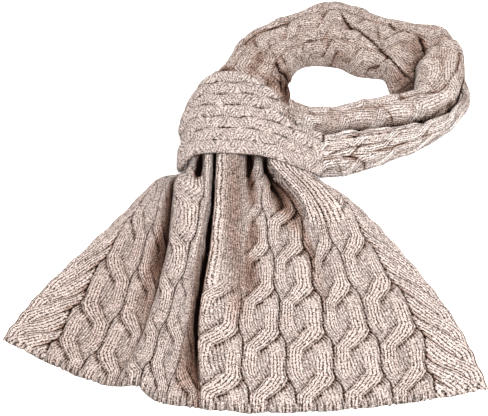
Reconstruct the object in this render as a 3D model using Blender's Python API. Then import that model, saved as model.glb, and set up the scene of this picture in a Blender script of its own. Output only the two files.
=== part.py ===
"""Pull-through shawl in cable knit, laid flat.

A long knitted panel and a narrow loop band. The panel starts as a wide fan (front_panel), is
gathered into a throat that passes through the band, goes round the neck hole as neck_back, folds
over at the right and comes back in two tiers (neck_front_upper and neck_front_lower). The lower
tier is sewn to the band's end. The band (loop_band) wraps over and under the throat.

Tables hold millimetres. X is to the right, Y away from the hem, Z up from the surface it lies on.
"""
import bpy
import bmesh
import numpy as np

MM = 0.001

# ---- driving sizes, millimetres ----
BAND_WALL = 5.0       # the band's knitting, with its rope braids
GAP = 1.0             # clearance between neighbouring pieces
CENTRE = (4.0, 19.2)  # middle of the laid-out shawl, moved to the origin

FAN_ACROSS = 46       # faces across the fan
FAN_ALONG = 30        # faces from the hem to the end inside the band
BAND_AROUND = 44      # faces round the band
BAND_ACROSS = 9       # faces over the band's width
ARM_OVER = 14         # faces over an arm's rounded section
ARM_ALONG = 26        # faces along an arm

# Rows of knitting across the fan, hem to throat. Each is an arc through (x_mid, y_mid) whose ends
# rise away from the hem. cells: cable repeats counted from the hem.
FAN_ROWS = (
    # name,     cells, x_mid, y_mid, left_rise, left_reach, right_rise, right_reach
    ("hem",      0.00,  20.0, -237.5,     81.5,      276.0,       25.0,       230.0),
    ("low",      1.45,  45.0, -162.0,     48.0,      257.0,       13.0,       177.0),
    ("high",     3.45,  20.0,  -64.0,     50.0,      157.0,       16.0,       138.0),
    ("gather",   4.70,  10.0,   -8.0,     44.0,      104.0,       10.0,       100.0),
    ("throat",   5.75,   0.0,   44.0,     -2.5,       70.0,      -12.0,        84.0),
    ("in_loop",  6.50,   0.0,   72.0,      0.0,       70.0,        0.0,        80.0),
    ("tail",     7.00,   0.0,   95.0,      0.0,       70.0,        0.0,        70.0),
)

# Folds of the fan, left edge to right edge. wale: its column of stitches, counted from the left.
# x and z at the rows hem, low, high, gather and throat.
FAN_FOLDS = (
    # name,          wale, x_hem,  x_low, x_high, x_gath, x_thrt, z_hem, z_low, z_high, z_gath, z_thrt
    ("left_edge",       0, -256.0, -225.0, -139.0, -92.0, -68.0,   5.0,   5.0,   6.0,    8.0,   11.0),
    ("left_braid",     12, -210.0, -181.0, -128.0, -89.5, -67.2,   7.0,   9.0,  11.0,   12.0,   13.0),
    ("left_cable",     26, -172.0, -137.0, -103.0, -85.0, -66.2,   7.0,  10.0,  13.0,   12.0,   14.0),
    ("left_hollow",    39, -135.0, -106.0,  -84.5, -79.5, -65.0,   5.0,   5.5,   5.0,    5.5,   12.0),
    ("left_pleat",     47, -127.0, -101.0,  -79.0, -75.0, -57.5,   8.5,  14.0,  20.0,   23.0,   26.0),
    ("slit",           51, -116.0,  -92.0,  -66.0, -58.0, -50.0,   8.8,  15.0,  23.0,   27.0,   12.0),
    ("second_pleat",   55, -106.0,  -84.0,  -54.0, -43.5, -43.5,   8.5,  15.0,  23.0,   29.0,   33.0),
    ("valley_slope",   68,  -81.0,  -60.5,  -47.0, -38.5, -36.5,   8.5,  16.0,  25.0,   31.0,   34.0),
    ("main_valley",    80,  -48.0,  -51.0,  -40.5, -35.0, -33.8,   5.0,   5.0,   4.8,    5.0,    8.0),
    ("pleat_edge",     84,  -42.5,  -47.0,  -34.7, -31.0, -29.5,   9.0,  17.0,  26.0,   32.0,   36.0),
    ("middle_pleat",   90,  -18.0,  -23.0,  -20.0, -17.0, -16.0,   9.5,  17.0,  27.0,   34.0,   40.0),
    ("pleat_flank",    96,    5.0,   -3.0,   -4.0,  -2.0,  -2.0,   8.0,  13.0,  23.0,   29.0,   34.0),
    ("pocket",        100,   18.0,    9.0,    5.0,   5.0,   6.0,   7.0,  11.0,  18.0,   27.0,   19.0),
    ("right_rib",     110,   54.0,   41.0,   30.0,  21.0,  17.0,   7.0,  10.0,  18.0,   25.0,   30.0),
    ("strap_hollow",  119,   84.0,   71.0,   52.0,  46.0,  23.5,   7.0,  10.0,  15.0,   13.0,   10.0),
    ("strap_foot",    126,  111.0,   97.0,   75.0,  61.0,  25.0,   6.5,   9.0,  10.0,   16.0,   12.0),
    ("strap_edge",    129,  122.0,  106.0,   79.0,  65.0,  29.0,   6.5,   9.0,  12.0,   28.0,   36.0),
    ("strap",         138,  154.0,  138.0,  100.0,  77.0,  46.0,   6.5,   9.0,  19.0,   33.0,   38.0),
    ("right_braid",   152,  197.0,  187.0,  138.0, 109.0,  76.0,   6.5,   8.0,  14.0,   24.0,   27.0),
    ("right_edge",    164,  254.0,  231.0,  167.0, 122.0,  84.0,   5.0,   5.0,   6.0,    7.0,   11.0),
)
HEM_LIFT = (
    # wale, lift: how far the hem is drawn up beside the left pleats
    (31.0, 0.0),
    (37.0, 2.0),
    (46.5, 5.0),
    (50.5, 9.0),
    (53.5, 11.0),
    (55.5, 6.0),
    (58.0, 3.0),
    (61.5, 0.0),
    (66.0, -2.0),
    (74.0, 0.0),
)
HEM_LIFT_CELLS = 1.3
SHOWN_ROWS = 5                    # rows that the fold table describes; the others are in the band
IN_BAND_SQUEEZE = (0.96, 0.90)    # x of the two hidden rows, as shares of the throat's
IN_BAND_FILL = 0.8                # least height of the hidden rows, as a share of the band's inside
TUCK_RUN = (14.0, 4.0)            # the fan dips under the band this far ahead of its front edge
FLOOR_RISE = (26.0, 37.0)         # Y where the fan's underside climbs onto the band's back layer

# The band's section across the throat: a flat-bottomed oval, cut off at the seam.
BAND_LEFT = 76.0        # reach to the left of X = 0
BAND_TOP = 46.0         # height of the crown
BAND_WAIST = 8.0        # height of its widest point on the left
BAND_ROUND = 2.6        # exponent of the oval
BAND_FALL_FROM = 10.0   # the crown starts to fall towards the seam
BAND_SEAM = 88.0        # X of the seam
BAND_FALL = 18.0        # drop from the crown to the seam
BAND_FALL_POWER = 1.6
BAND_TAPER = 0.16        # share by which the left side draws in towards the rear edge
BAND_TAPER_RUN = (85.0, 150.0)
CURVE_SAMPLES = 60      # points along each long stretch of the section
TURN_SAMPLES = 20       # points round its turn on the left

# The band's edges, from the seam over the crown and back underneath.
BAND_EDGES = (
    # name,           share, y_front, y_rear
    ("seam_top",       0.00,   27.0,   84.0),
    ("shoulder",       0.09,   34.0,   87.0),
    ("corner",         0.12,   37.0,   99.0),
    ("inner",          0.15,   40.0,  125.0),
    ("crown_right",    0.19,   43.0,  139.0),
    ("crown_left",     0.31,   46.0,  157.0),
    ("left_shoulder",  0.42,   45.0,  149.0),
    ("left_side",      0.49,   40.0,  124.0),
    ("left_under",     0.56,   46.0,  112.0),
    ("under",          0.75,   46.0,  112.0),
    ("seam_bottom",    1.00,   42.0,   76.0),
)
FRONT_EDGE = ((-60.0, 0.0, 40.0, 60.0, 88.0), (44.0, 45.0, 41.0, 34.0, 27.0))  # x, y of its top
UNDER_REAR = (121.0, 131.0)       # Y where neck_back comes down off the band's back layer
COVERED_RUN = (150.0, 165.0)      # Y where neck_back comes out from under the band

# neck_back, from inside the band round the hole to its end under the fold at the right.
BACK_STATIONS = (
    # name,      share, hole_x, hole_y, outer_x, outer_y, height
    ("in_band",   0.00,   60.0,   96.0,   -58.0,    96.0,   40.0),
    ("covered",   0.07,   58.0,  112.0,   -56.0,   121.0,   40.0),
    ("emerging",  0.16,   53.0,  140.0,   -48.0,   152.0,   38.0),
    ("left",      0.25,   52.0,  160.0,   -25.0,   181.0,   36.0),
    ("left_far",  0.34,   58.0,  178.0,    -1.0,   221.0,   33.0),
    ("far_left",  0.43,   70.0,  189.0,    30.0,   242.0,   31.0),
    ("far",       0.52,   87.0,  192.0,    67.0,   264.0,   31.0),
    ("far_peak",  0.61,  111.0,  189.0,   109.0,   276.0,   32.0),
    ("far_right", 0.71,  136.0,  176.0,   151.0,   261.0,   31.0),
    ("dip",       0.81,  165.0,  172.0,   193.0,   249.0,   28.0),
    ("tucked",    0.91,  176.0,  150.0,   236.0,   242.0,   22.0),
    ("end",       1.00,  230.0,  164.0,   256.0,   213.0,   19.0),
)

# neck_front_upper, from the fold at the right down to the band. Its base stands on neck_back's
# end first and then comes down to the surface.
UPPER_STATIONS = (
    # name,      share, hole_x, hole_y, outer_x, outer_y, base, height
    ("fold",      0.00,  214.0,  180.0,   240.0,   199.0, 25.0,   18.0),
    ("rounded",   0.04,  203.0,  172.0,   249.0,   203.0, 25.0,   23.0),
    ("flap",      0.12,  200.0,  158.0,   256.0,   184.0, 25.0,   26.0),
    ("bend",      0.26,  199.0,  147.0,   255.0,   155.0, 25.0,   24.0),
    ("corner",    0.38,  196.0,  139.0,   245.0,   126.0,  6.0,   36.0),
    ("turned",    0.50,  180.0,  136.5,   214.0,   106.5,  0.0,   38.0),
    ("tier",      0.64,  145.0,  131.0,   165.0,    96.0,  0.0,   35.0),
    ("narrow",    0.82,  106.0,  124.0,   122.0,    90.5,  0.0,   32.0),
    ("joining",   0.92,   82.0,  125.5,   104.0,    88.5,  0.0,   30.0),
    ("end",       1.00,   63.0,  132.5,    88.0,    88.0,  0.0,   27.0),
)

# neck_front_lower, from under the fold at the right to the seam.
LOWER_STATIONS = (
    # name,      share, inner_x, inner_y, outer_x, outer_y, height
    ("tucked",    0.00,   252.0,   168.0,   260.0,   166.0,   13.0),
    ("side",      0.12,   253.0,   144.0,   264.0,   139.0,   17.0),
    ("corner",    0.24,   244.6,   124.6,   254.0,   119.5,   20.0),
    ("tier",      0.42,   212.6,   105.2,   220.0,    89.0,   23.0),
    ("wide",      0.64,   165.6,    95.0,   164.0,    62.0,   27.0),
    ("front",     0.83,   121.6,    89.2,   119.0,    45.0,   30.0),
    ("seam",      1.00,    89.0,    84.0,    89.0,    39.0,   29.0),
)
ARM_SQUARE = 0.62       # exponent of an arm's section: 1 is an ellipse, less is fuller

COLOURS = {
    "front_panel": (0.62, 0.50, 0.43),
    "loop_band": (0.64, 0.52, 0.45),
    "neck_back": (0.52, 0.41, 0.35),
    "neck_front_upper": (0.60, 0.48, 0.41),
    "neck_front_lower": (0.61, 0.49, 0.42),
}
ROUGHNESS = 0.95
SHARP_DEGREES = 50      # edges sharper than this stay sharp in the shading


def monotone(knots, values, at):
    """Cubic through (knots, values) with no overshoot, read at the places in at."""
    knots, values, at = (np.asarray(a, float) for a in (knots, values, at))
    step = np.diff(knots)
    slope = np.diff(values) / step
    tangent = np.empty_like(values)
    tangent[0], tangent[-1] = slope[0], slope[-1]
    weight_a = 2 * step[1:] + step[:-1]
    weight_b = step[1:] + 2 * step[:-1]
    same = slope[1:] * slope[:-1] > 0
    safe_a = np.where(same, slope[:-1], 1.0)
    safe_b = np.where(same, slope[1:], 1.0)
    mean = (weight_a + weight_b) / (weight_a / safe_a + weight_b / safe_b)
    tangent[1:-1] = np.where(same, mean, 0.0)
    k = np.clip(np.searchsorted(knots, at, side="right") - 1, 0, len(step) - 1)
    t = np.clip((at - knots[k]) / step[k], 0.0, 1.0)
    return (
        (1 + 2 * t) * (1 - t) ** 2 * values[k]
        + t * (1 - t) ** 2 * step[k] * tangent[k]
        + t * t * (3 - 2 * t) * values[k + 1]
        + t * t * (t - 1) * step[k] * tangent[k + 1]
    )


def smooth_step(low, high, value):
    """0 below low, 1 above high, and a smooth ramp between them."""
    t = np.clip((np.asarray(value, float) - low) / (high - low), 0.0, 1.0)
    return t * t * (3 - 2 * t)


def column(table, index):
    """One named column of a table, as an array."""
    return np.array([row[index] for row in table], float)


def taper(x, y):
    """Share of its full width that the band's left side has at y, and 1 on the right."""
    return np.where(np.asarray(x) < 0, 1 - BAND_TAPER * smooth_step(*BAND_TAPER_RUN, y), 1.0)


def arch(x, y, inset):
    """Height of the band's top surface at x and y, moved inwards by inset."""
    x = np.asarray(x, float) / taper(x, y)
    reach = np.clip(-x / (BAND_LEFT - inset), 0.0, 1.0)
    left = BAND_WAIST + (BAND_TOP - BAND_WAIST - inset) * (1 - reach**BAND_ROUND) ** (1 / BAND_ROUND)
    run = np.clip((x - BAND_FALL_FROM) / (BAND_SEAM - BAND_FALL_FROM), 0.0, 1.0)
    right = BAND_TOP - inset - BAND_FALL * run**BAND_FALL_POWER
    return np.where(x < 0, left, right)


# ---- the fan ----
def fan_rows():
    """x and z of every fold at every row, hidden rows included, one line per row."""
    folds = np.array([fold[2:] for fold in FAN_FOLDS], float)
    x_rows = [folds[:, k] for k in range(SHOWN_ROWS)]
    z_rows = [folds[:, SHOWN_ROWS + k] for k in range(SHOWN_ROWS)]
    throat_x, throat_z = x_rows[-1], z_rows[-1]
    for squeeze in IN_BAND_SQUEEZE:
        x_rows.append(throat_x * squeeze)
        inside = arch(throat_x * squeeze, 0.0, BAND_WALL + GAP)
        z_rows.append(np.maximum(throat_z, IN_BAND_FILL * inside))
    return np.array(x_rows), np.array(z_rows)


def fan_point(wale, cells):
    """Top surface of the fan at a column of stitches and a row, in millimetres."""
    wales = column(FAN_FOLDS, 1)
    row_cells = column(FAN_ROWS, 1)
    x_rows, z_rows = fan_rows()
    x_at = [monotone(wales, row, wale) for row in x_rows]
    z_at = [monotone(wales, row, wale) for row in z_rows]
    y_at = []
    for (_, _, x_mid, y_mid, rise_l, reach_l, rise_r, reach_r), x in zip(FAN_ROWS, x_at):
        left = np.maximum(x_mid - x, 0.0) / reach_l
        right = np.maximum(x - x_mid, 0.0) / reach_r
        y_at.append(y_mid + rise_l * left**2 + rise_r * right**2)
    rows = [
        [monotone(row_cells, [line[k] for line in axis], cells) for axis in (x_at, y_at, z_at)]
        for k in range(len(np.atleast_1d(wale)))
    ]
    x, y, z = (np.array([row[axis] for row in rows]) for axis in range(3))
    lift = np.interp(wale, column(HEM_LIFT, 0), column(HEM_LIFT, 1))
    y = y + lift[:, None] * smooth_step(HEM_LIFT_CELLS, 0.0, cells)
    roof = arch(x, y, BAND_WALL + GAP)
    front = np.interp(x, *FRONT_EDGE)
    in_band = smooth_step(front - TUCK_RUN[0], front - TUCK_RUN[1], y)
    z = np.where(z > roof, z + (roof - z) * in_band, z)
    return x, y, z


def fan_floor(y):
    """Underside of the fan: flat where it rests, its pleats filled by the layers folded in them."""
    return (BAND_WALL + GAP) * smooth_step(*FLOOR_RISE, y)


def fan_grids():
    wale = np.linspace(0.0, FAN_FOLDS[-1][1], FAN_ACROSS + 1)
    for fold in FAN_FOLDS:
        wale[np.abs(wale - fold[1]).argmin()] = fold[1]
    cells = np.linspace(0.0, FAN_ROWS[-1][1], FAN_ALONG + 1)
    x, y, z = fan_point(wale, cells)
    top = np.stack((x, y, z), axis=-1)
    under = np.stack((x, y, fan_floor(y)), axis=-1)
    return top, under


# ---- the band ----
def band_outline(inset):
    """(x, z) round the band's section, seam top to seam bottom, moved inwards by inset."""
    left = BAND_LEFT - inset
    x_right = np.linspace(BAND_SEAM, 0.0, CURVE_SAMPLES)
    angle = np.linspace(0.0, np.pi / 2, CURVE_SAMPLES)[1:]
    x_left = -left * np.sin(angle) ** (2 / BAND_ROUND)
    under = np.linspace(0.0, np.pi / 2, TURN_SAMPLES)[1:]
    x_turn = -(left - BAND_WAIST) - BAND_WAIST * np.cos(under)
    z_turn = BAND_WAIST - (BAND_WAIST - inset) * np.sin(under)
    x_floor = np.linspace(x_turn[-1], BAND_SEAM, CURVE_SAMPLES)[1:]
    x = np.concatenate((x_right, x_left, x_turn, x_floor))
    z_over = (arch(x_right, 0.0, inset), arch(x_left, 0.0, inset))
    z = np.concatenate((*z_over, z_turn, np.full(len(x_floor), inset)))
    return x, z


def band_grids():
    outer_x, outer_z = band_outline(0.0)
    inner_x, inner_z = band_outline(BAND_WALL)
    run = np.concatenate(([0.0], np.cumsum(np.hypot(np.diff(outer_x), np.diff(outer_z)))))
    run /= run[-1]
    share = np.linspace(0.0, 1.0, BAND_AROUND + 1)
    front = monotone(column(BAND_EDGES, 1), column(BAND_EDGES, 2), share)
    rear = monotone(column(BAND_EDGES, 1), column(BAND_EDGES, 3), share)
    across = np.linspace(0.0, 1.0, BAND_ACROSS + 1)
    y = front[:, None] + (rear - front)[:, None] * across
    sides = []
    for xs, zs in ((outer_x, outer_z), (inner_x, inner_z)):
        x = np.repeat(np.interp(share, run, xs)[:, None], len(across), axis=1)
        x = x * taper(x, y)
        z = np.repeat(np.interp(share, run, zs)[:, None], len(across), axis=1)
        sides.append(np.stack((x, y, z), axis=-1))
    return sides


# ---- the neck's arms ----
def arm_point(near, far, base, height, over):
    """A rounded section from its near foot over the top to its far foot. over runs from 0 to 1."""
    angle = np.pi * over
    reach = np.sign(np.cos(angle)) * np.abs(np.cos(angle)) ** ARM_SQUARE
    across = 0.5 * (1 - reach)
    rise = np.sin(angle) ** ARM_SQUARE
    return near[:, None] + (far - near)[:, None] * across, base + height[:, None] * rise


def arm_stations(table, columns, along):
    """The named columns of a table, read smoothly along the arm."""
    return [monotone(column(table, 1), column(table, k), along) for k in columns]


def back_grid():
    along = np.linspace(0.0, 1.0, ARM_ALONG + 1)
    over = np.linspace(0.0, 1.0, ARM_OVER + 1)
    hole_x, hole_y, outer_x, outer_y, height = arm_stations(BACK_STATIONS, range(2, 7), along)
    x, _ = arm_point(hole_x, outer_x, 0.0, height, over)
    y, z = arm_point(hole_y, outer_y, 0.0, height, over)
    floor = (BAND_WALL + GAP) * (1 - smooth_step(*UNDER_REAR, y))
    roof = arch(x, y, BAND_WALL + GAP)
    covered = 1 - smooth_step(*COVERED_RUN, y)
    z = np.where(z > roof, z + (roof - z) * covered, z)
    return np.stack((x, y, np.maximum(z, floor)), axis=-1)


def upper_grid():
    along = np.linspace(0.0, 1.0, ARM_ALONG + 1)
    over = np.linspace(0.0, 1.0, ARM_OVER + 1)
    columns = arm_stations(UPPER_STATIONS, range(2, 8), along)
    hole_x, hole_y, outer_x, outer_y, base, height = columns
    x, _ = arm_point(outer_x, hole_x, 0.0, height, over)
    y, z = arm_point(outer_y, hole_y, base[:, None], height, over)
    return np.stack((x, y, z), axis=-1)


def lower_grid():
    along = np.linspace(0.0, 1.0, ARM_ALONG + 1)
    over = np.linspace(0.0, 1.0, ARM_OVER + 1)
    inner_x, inner_y, outer_x, outer_y, height = arm_stations(LOWER_STATIONS, range(2, 7), along)
    x, _ = arm_point(outer_x, inner_x, 0.0, height, over)
    y, z = arm_point(outer_y, inner_y, 0.0, height, over)
    return np.stack((x, y, z), axis=-1)


# ---- meshes ----
def grid_vertices(mesh, grid):
    """Adds a grid of points, in metres about the shawl's middle, and returns its vertices."""
    shift = np.array((*CENTRE, 0.0))
    return [[mesh.verts.new((point - shift) * MM) for point in line] for line in grid]


def quads(mesh, lines):
    """Faces between neighbouring lines of points."""
    for a, b in zip(lines[:-1], lines[1:]):
        for k in range(len(a) - 1):
            mesh.faces.new((a[k], a[k + 1], b[k + 1], b[k]))


def finish(mesh, name, collection):
    """Turns a mesh's faces outwards and puts it in a named object with its own material."""
    bmesh.ops.recalc_face_normals(mesh, faces=mesh.faces)
    bmesh.ops.triangulate(mesh, faces=mesh.faces)
    data = bpy.data.meshes.new(name)
    mesh.to_mesh(data)
    mesh.free()
    data.shade_smooth()
    data.set_sharp_from_angle(angle=np.radians(SHARP_DEGREES))
    material = bpy.data.materials.new(name + "_knit")
    material.use_nodes = True
    shader = material.node_tree.nodes["Principled BSDF"]
    shader.inputs["Base Color"].default_value = (*COLOURS[name], 1.0)
    shader.inputs["Roughness"].default_value = ROUGHNESS
    shader.inputs["Metallic"].default_value = 0.0
    data.materials.append(material)
    item = bpy.data.objects.new(name, data)
    collection.objects.link(item)
    return item


def wall_piece(name, outside, inside, collection):
    """A layer of cloth: two matching grids joined by a rim."""
    mesh = bmesh.new()
    outer, inner = grid_vertices(mesh, outside), grid_vertices(mesh, inside)
    quads(mesh, outer)
    quads(mesh, inner)
    rims = (
        (outer[0], inner[0]),
        (outer[-1], inner[-1]),
        ([line[0] for line in outer], [line[0] for line in inner]),
        ([line[-1] for line in outer], [line[-1] for line in inner]),
    )
    for rim in rims:
        quads(mesh, rim)
    return finish(mesh, name, collection)


def arm_piece(name, grid, collection):
    """Folded layers of cloth as one rounded solid: sections with flat feet, closed at the ends."""
    mesh = bmesh.new()
    lines = grid_vertices(mesh, grid)
    quads(mesh, [line + [line[0]] for line in lines])
    mesh.faces.new(lines[0])
    mesh.faces.new(lines[-1])
    return finish(mesh, name, collection)


def build():
    for item in list(bpy.data.objects):
        bpy.data.objects.remove(item, do_unlink=True)
    collection = bpy.data.collections.new("pull_through_shawl")
    bpy.context.scene.collection.children.link(collection)
    wall_piece("front_panel", *fan_grids(), collection)
    wall_piece("loop_band", *band_grids(), collection)
    arm_piece("neck_back", back_grid(), collection)
    arm_piece("neck_front_upper", upper_grid(), collection)
    arm_piece("neck_front_lower", lower_grid(), collection)


build()
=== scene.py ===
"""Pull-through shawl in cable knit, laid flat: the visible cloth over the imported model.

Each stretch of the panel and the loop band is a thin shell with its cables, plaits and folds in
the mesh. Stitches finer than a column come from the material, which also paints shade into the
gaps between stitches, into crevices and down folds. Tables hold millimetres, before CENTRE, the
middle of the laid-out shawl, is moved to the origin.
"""
import math
import bpy
import numpy as np
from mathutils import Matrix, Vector


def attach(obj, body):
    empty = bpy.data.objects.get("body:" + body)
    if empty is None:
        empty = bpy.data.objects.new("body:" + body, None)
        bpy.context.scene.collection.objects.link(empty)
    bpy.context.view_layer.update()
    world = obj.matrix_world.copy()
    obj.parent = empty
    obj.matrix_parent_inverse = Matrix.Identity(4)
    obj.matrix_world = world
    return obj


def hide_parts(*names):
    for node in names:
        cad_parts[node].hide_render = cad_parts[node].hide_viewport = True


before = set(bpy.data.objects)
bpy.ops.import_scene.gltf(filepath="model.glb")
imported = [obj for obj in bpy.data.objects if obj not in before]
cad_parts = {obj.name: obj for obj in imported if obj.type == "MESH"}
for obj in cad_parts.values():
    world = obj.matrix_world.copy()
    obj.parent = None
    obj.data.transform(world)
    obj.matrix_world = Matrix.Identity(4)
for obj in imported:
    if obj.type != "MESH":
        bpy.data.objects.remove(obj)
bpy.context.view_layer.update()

MM = 0.001
CENTRE = (4.0, 19.2)
WALE = 3.5  # width of one column of stitches
ROWS = 14  # rows of stitches in one cable repeat
CELL = 54.0  # length of a cable repeat, for the slope of its strands
LIE = 4.0  # mean relief, taken off so that the cloth lies on its solid's surface
GRAIN = 8  # points of a shell's fine outer grid for each one of its inner grid

# ---- the laid-out form: the solids' own sizes, with some places a few millimetres off theirs ----
WALL = 4.5
BAND_WALL = 5.0
GAP = 1.0
FAN_ROWS = (
    # name, cells, x_mid, y_mid, left_rise, left_reach, right_rise, right_reach
    ("hem",        0, 20, -237.5, 81.5, 276,  25, 230),
    ("low",     1.45, 45,   -162,   48, 257,  13, 177),
    ("high",    3.45, 20,    -64,   50, 157,  16, 138),
    ("gather",   4.7, 10,     -8,   46, 104,  10, 100),
    ("throat",  5.75,  0,     44, -2.5,  70, -12,  84),
    ("in_loop",  6.5,  0,     72,    0,  70,   0,  80),
    ("tail",       7,  0,     95,    0,  70,   0,  70),
)
FAN_FOLDS = (
    # name, wale, then x and then z at the hem, low, high, gather and throat rows
    ("left_edge",      0,  -256,  -225,  -139,   -92,   -68,   5,   5,   6,   8, 11),
    ("left_braid",    12,  -210,  -181,  -128, -89.5, -67.2,   7,   9,  11,  12, 13),
    ("left_cable",    26,  -172,  -137,  -103,   -85, -66.2,   7,  10,  13,  12, 14),
    ("left_hollow",   39,  -135,  -106, -84.5, -79.5,   -65,   5, 5.5,   5, 5.5, 12),
    ("left_pleat",    47,  -127,  -101,   -79,   -75, -57.5, 8.5,  14,  20,  23, 26),
    ("slit",          51,  -116,   -92,   -66,   -58,   -50, 8.8,  15,  23,  27, 12),
    ("second_pleat",  55,  -106,   -84,   -54, -43.5, -43.5, 8.5,  15,  23,  29, 33),
    ("valley_slope",  68,   -81, -60.5,   -47, -38.5, -36.5, 8.5,  16,  25,  31, 34),
    ("main_valley",   80,   -48,   -51, -40.5,   -35, -33.8,   5,   5, 4.8,   5,  8),
    ("pleat_edge",    84, -42.5,   -47, -34.7,   -31, -29.5,   9,  17,  26,  32, 36),
    ("middle_pleat",  90,   -18,   -23,   -20,   -17,   -16, 9.5,  17,  27,  34, 40),
    ("pleat_flank",   96,     5,    -3,    -4,    -2,    -2,   8,  13,  23,  29, 34),
    ("pocket",       100,    18,     9,     5,     5,     6,   7,  11,  18,  27, 19),
    ("right_rib",    110,    54,    41,    30,    21,    17,   7,  10,  18,  25, 30),
    ("strap_hollow", 119,    84,    71,    52,    46,  23.5,   7,  10,  15,  13, 10),
    ("strap_foot",   126,   111,    97,    75,    61,    25, 6.5,   9,  10,  16, 12),
    ("strap_edge",   129,   122,   106,    79,    65,    29, 6.5,   9,  12,  28, 36),
    ("strap",        138,   154,   138,   100,    77,    46, 6.5,   9,  19,  33, 38),
    ("right_braid",  152,   197,   187,   138,   109,    76, 6.5,   8,  14,  24, 27),
    ("right_edge",   164,   254,   231,   167,   122,    84,   5,   5,   6,   7, 11),
)
HEM_LIFT = (  # how far the hem is drawn up beside the left pleats
    (31, 37, 46.5, 50.5, 53.5, 55.5, 58, 61.5, 66, 74),  # wale
    (0, 2, 5, 9, 11, 6, 3, 0, -2, 0),  # lift
)
HEM_LIFT_CELLS = 1.3
SHOWN_ROWS = 5  # of FAN_ROWS; the other rows are inside the band
IN_BAND_SQUEEZE = (0.96, 0.90)
IN_BAND_FILL = 0.8
# y over which the fan tucks in, its floor rises and it turns solid, and z where it is hollow
TUCK_RUN = (14.0, 4.0)
FLOOR_RISE = (30.0, 42.0)
SOLID_RUN = (30.0, 62.0)
LIFT_OFF = (8.5, 14.0)
BAND_LEFT = 76.0
BAND_TOP = 46.0
BAND_WAIST = 8.0  # height of the band's widest place
BAND_ROUND = 2.6
BAND_FALL_FROM = 10.0
BAND_SEAM = 88.0
BAND_FALL = 18.0
BAND_FALL_POWER = 1.6
BAND_TAPER = 0.16
BAND_TAPER_RUN = (85.0, 150.0)
CURVE_SAMPLES = 60
TURN_SAMPLES = 20
BAND_EDGES = (
    # shares of the way round from the seam, then y of the front and rear edges
    ( 0, 0.09, 0.12, 0.15, 0.19, 0.31, 0.42, 0.49, 0.56, 0.75,  1),
    (27,   34,   37,   40,   43,   47,   49,   40,   46,   46, 42),
    (84,   87,   99,  125,  139,  157,  149,  124,  112,  112, 76),
)
FRONT_EDGE = ((-60.0, 0.0, 40.0, 60.0, 88.0), (44.0, 45.0, 41.0, 34.0, 27.0))
UNDER_REAR = (121.0, 131.0)
COVERED_RUN = (150.0, 165.0)
BACK_STATIONS = (
    # shares of the way from inside the band round the far side to the fold, then
    # hole_x, hole_y, outer_x, outer_y and height
    (  0, 0.07, 0.16, 0.25, 0.34, 0.43,  0.52, 0.61, 0.71, 0.81, 0.91,   1),
    ( 60,   58,   53,   52,   58,   70,    87,  111,  136,  165,  176, 230),
    ( 96,  112,  140,  160,  178,  189,   192,  189,  176,  172,  150, 164),
    (-58,  -56,  -48,  -25,   -1,   30,    67,  109,  151,  195,  240, 256),
    ( 96,  121,  152,  181,  221,  242, 260.5,  275,  261,  245,  243, 213),
    ( 40,   40,   38,   36,   33,   31,    31,   32,   31,   28,   22,  19),
)
UPPER_STATIONS = (
    # the same from the fold back to the band, with the base's height before the height
    (  0, 0.04, 0.12, 0.26, 0.38,   0.5, 0.64, 0.82,  0.91,  0.96,   1),
    (214,  203,  200,  199,  196,   180,  145,  106,    82,    58,  42),
    (180,  172,  158,  147,  139, 136.5,  131,  122, 120.5, 130.5, 139),
    (240,  249,  256,  255,  245,   214,  165,  122,   104,    84,  66),
    (199,  203,  184,  155,  126, 106.5,   96, 90.5,  88.5,    88,  84),
    ( 25,   25,   25,   25,    6,     0,    0,    0,     0,     0,   0),
    ( 18,   23,   26,   24,   36,    38,   35,   32,    30,    27,  23),
)
LOWER_STATIONS = (
    # the same from under the fold to the band's seam
    (  0, 0.12,  0.24,  0.42,  0.64,  0.83,    1),
    (252,  253, 244.6, 212.6, 165.6, 121.6,   87),
    (168,  144, 124.6, 105.2,    95,  89.2,   84),
    (260,  264,   254,   221,   164,   119,   87),
    (166,  139, 119.5,    87,    59,  42.5, 38.5),
    ( 13,   17,    20,    23,    27,    30, 27.5),
)
ARM_SQUARE = 0.62  # how square an arm's section is
SECTION_SAMPLES = 160
FOOT = 4  # steps under an arm from its foot to where its edges meet
MEETING = (0.48, 0.52)  # places of those edges, as shares of the way across
ARM_WALL = 2.5
LEAST_OUTER = 0.3  # heights above the floor
LEAST_INNER = 0.9
LEAST_FAN = 0.7


# ---- small maths ----
def monotone(knots, values, at):
    """Cubic through (knots, values) with no overshoot, read at the places in at."""
    knots, values, at = (np.asarray(a, float) for a in (knots, values, at))
    step = np.diff(knots)
    slope = np.diff(values) / step
    before, after = slope[:-1], slope[1:]
    same = after * before > 0
    weights = 2 * step[1:] + step[:-1], step[1:] + 2 * step[:-1]
    shares = (w / np.where(same, side, 1.0) for w, side in zip(weights, (before, after)))
    mean = np.where(same, sum(weights) / sum(shares), 0.0)
    tangent = np.concatenate((slope[:1], mean, slope[-1:]))
    k = np.clip(np.searchsorted(knots, at, side="right") - 1, 0, len(step) - 1)
    t = unit((at - knots[k]) / step[k])
    return (
        (1 + 2 * t) * (1 - t) ** 2 * values[k]
        + t * (1 - t) ** 2 * step[k] * tangent[k]
        + t * t * (3 - 2 * t) * values[k + 1]
        + t * t * (t - 1) * step[k] * tangent[k + 1]
    )


def unit(value):
    return np.clip(value, 0.0, 1.0)


def ease(low, high, value):
    """0 at low to 1 at high, smoothly."""
    t = unit((np.asarray(value, float) - low) / (high - low))
    return t * t * (3 - 2 * t)


def soft_clip(x, e=0.06):
    """x near 0, levelling off at -1 and 1."""
    return 0.5 * (np.sqrt((x + 1) ** 2 + e) - np.sqrt((x - 1) ** 2 + e))


def soft_ramp(x, e=0.004):
    """0 for negative x and x for positive x, with a rounded corner."""
    return 0.5 * (x + np.sqrt(x * x + e))


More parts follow.
